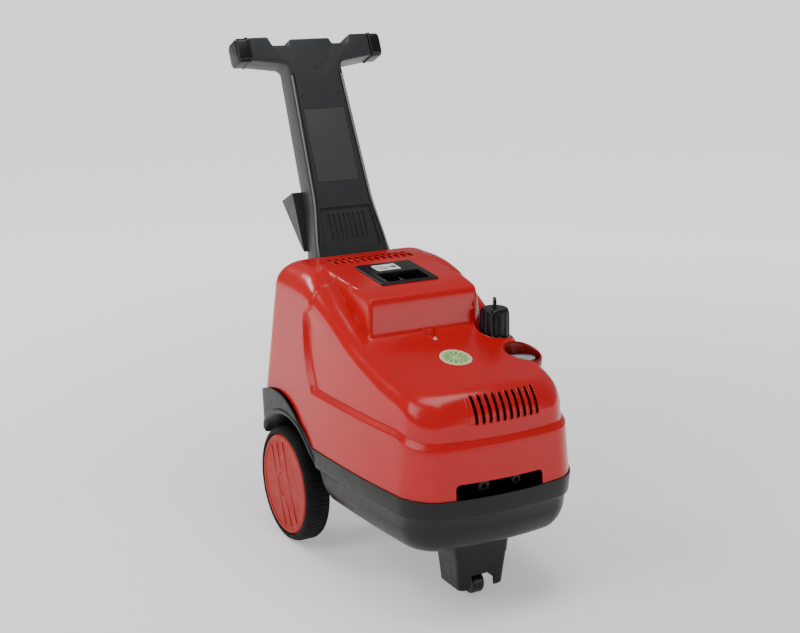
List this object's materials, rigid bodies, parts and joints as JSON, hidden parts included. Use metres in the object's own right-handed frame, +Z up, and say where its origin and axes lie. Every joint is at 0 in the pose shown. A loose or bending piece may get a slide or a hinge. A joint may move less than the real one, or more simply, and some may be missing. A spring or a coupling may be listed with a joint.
{
  "type": "pressure washer",
  "caption": "Upright red electric pressure washer with a bulged plastic cover, slanted T handle, large rear wheels, small front caster, pressure knob, gauge and recessed rotary switch.",
  "frame": {"origin": "on the ground, at the middle of the bounding box", "axes": "+Z up, -Y towards the nose with the caster, +Y towards the handle, X across the machine"},
  "size_m": [0.441, 0.888, 1.049],
  "materials": {
    "red_plastic": "glossy red, moulded",
    "base_plastic": "dark grey, satin",
    "handle_plastic": "slate grey, satin",
    "insert_plastic": "grey, matt",
    "black_plastic": "black, satin",
    "tyre_rubber": "black, fine tread",
    "wheel_red": "faded red, matt",
    "steel": "zinc plated",
    "brass": "machined",
    "cast_aluminium": "cast",
    "motor_paint": "dark grey paint",
    "clear_lens": "clear",
    "dial_white": "off-white print",
    "label_green": "pale green print",
    "hose_rubber": "black, braided hose"
  },
  "bodies": {
    "machine": {"cover": "red_plastic", "base_tub": "base_plastic", "foot_housing": "base_plastic", "axle_saddle_left": "base_plastic", "axle_saddle_right": "base_plastic", "handle_post": "base_plastic", "handle_front": "handle_plastic", "handle_rear": "handle_plastic", "rear_holder": "handle_plastic", "handle_label": "insert_plastic", "grip_cap_left": "black_plastic", "grip_cap_right": "black_plastic", "axle": "steel", "switch_panel": "black_plastic", "switch_case": "motor_paint", "panel_label": "dial_white", "round_label": "label_green", "unloader_valve": "brass", "unloader_bracket": "steel", "gauge_body": "black_plastic", "gauge_dial": "dial_white", "gauge_lens": "clear_lens", "gauge_pipe": "brass", "motor_stator": "motor_paint", "motor_front_shield": "cast_aluminium", "motor_rear_shield": "cast_aluminium", "fan_cowl": "black_plastic", "motor_cradle": "steel", "rubber_mount": "hose_rubber", "capacitor_box": "black_plastic", "pump_crankcase": "cast_aluminium", "pump_head": "brass", "valve_cover": "steel", "coupling_plate": "steel", "inlet_coupling": "brass", "outlet_coupling": "steel", "inlet_hose": "hose_rubber", "outlet_hose": "hose_rubber", "bypass_hose": "hose_rubber", "cable_gland": "black_plastic"},
    "wheel_left_body": {"tyre_left": "tyre_rubber", "rim_left": "black_plastic", "hubcap_left": "wheel_red"},
    "wheel_right_body": {"tyre_right": "tyre_rubber", "rim_right": "black_plastic", "hubcap_right": "wheel_red"},
    "caster_swivel": {"caster_fork": "steel", "caster_pin": "steel"},
    "caster_roller": {"caster_wheel": "black_plastic"},
    "spindle": {"unloader_spindle": "steel"},
    "pressure_control": {"pressure_knob": "black_plastic"},
    "switch": {"switch_knob": "black_plastic"},
    "needle": {"gauge_needle": "black_plastic"},
    "rotor": {"rotor_shaft": "steel", "cooling_fan": "black_plastic", "swash_plate": "steel"},
    "plunger_1_body": {"plunger_1": "steel"},
    "plunger_2_body": {"plunger_2": "steel"},
    "plunger_3_body": {"plunger_3": "steel"}
  },
  "joints": [
    {"name": "wheel_left_spin", "type": "hinge", "parent": "machine", "child": "wheel_left_body", "pos_m": [-0.1885, 0.1035, 0.125], "axis": [1, 0, 0], "continuous": true},
    {"name": "wheel_right_spin", "type": "hinge", "parent": "machine", "child": "wheel_right_body", "pos_m": [0.1885, 0.1035, 0.125], "axis": [1, 0, 0], "continuous": true},
    {"name": "caster_swivel_turn", "type": "hinge", "parent": "machine", "child": "caster_swivel", "pos_m": [0, -0.315, 0.06], "axis": [0, 0, 1], "continuous": true},
    {"name": "caster_wheel_spin", "type": "hinge", "parent": "caster_swivel", "child": "caster_roller", "pos_m": [0, -0.323, 0.022], "axis": [1, 0, 0], "continuous": true},
    {"name": "spindle_travel", "type": "slide", "parent": "machine", "child": "spindle", "axis": [0, 0, -1], "range_m": [-0.001, 0.001]},
    {"name": "pressure_turn", "type": "hinge", "parent": "spindle", "child": "pressure_control", "pos_m": [0.144, -0.163, 0.49], "axis": [0, 0, -1], "range_deg": [-240, 240]},
    {"name": "switch_turn", "type": "hinge", "parent": "machine", "child": "switch", "pos_m": [0, -0.03786, 0.58337], "axis": [0, -0.0965, 0.9953], "range_deg": [-90, 0]},
    {"name": "needle_turn", "type": "hinge", "parent": "machine", "child": "needle", "pos_m": [0.152, -0.255, 0.436], "axis": [0, 0, -1], "range_deg": [0, 270], "stiffness_Nm_per_rad": 0.0005},
    {"name": "rotor_spin", "type": "hinge", "parent": "machine", "child": "rotor", "pos_m": [0, 0.03, 0.3], "axis": [0, 1, 0], "continuous": true},
    {"name": "plunger_1_stroke", "type": "slide", "parent": "machine", "child": "plunger_1_body", "axis": [0, -1, 0], "range_m": [0, 0.007], "stiffness_N_per_m": 300},
    {"name": "plunger_2_stroke", "type": "slide", "parent": "machine", "child": "plunger_2_body", "axis": [0, -1, 0], "range_m": [0, 0.007], "stiffness_N_per_m": 300},
    {"name": "plunger_3_stroke", "type": "slide", "parent": "machine", "child": "plunger_3_body", "axis": [0, -1, 0], "range_m": [0, 0.007], "stiffness_N_per_m": 300}
  ],
  "couplings": [
    {"joint": "spindle_travel", "follows": "pressure_turn", "m_per_rad": 0.00023873}
  ]
}
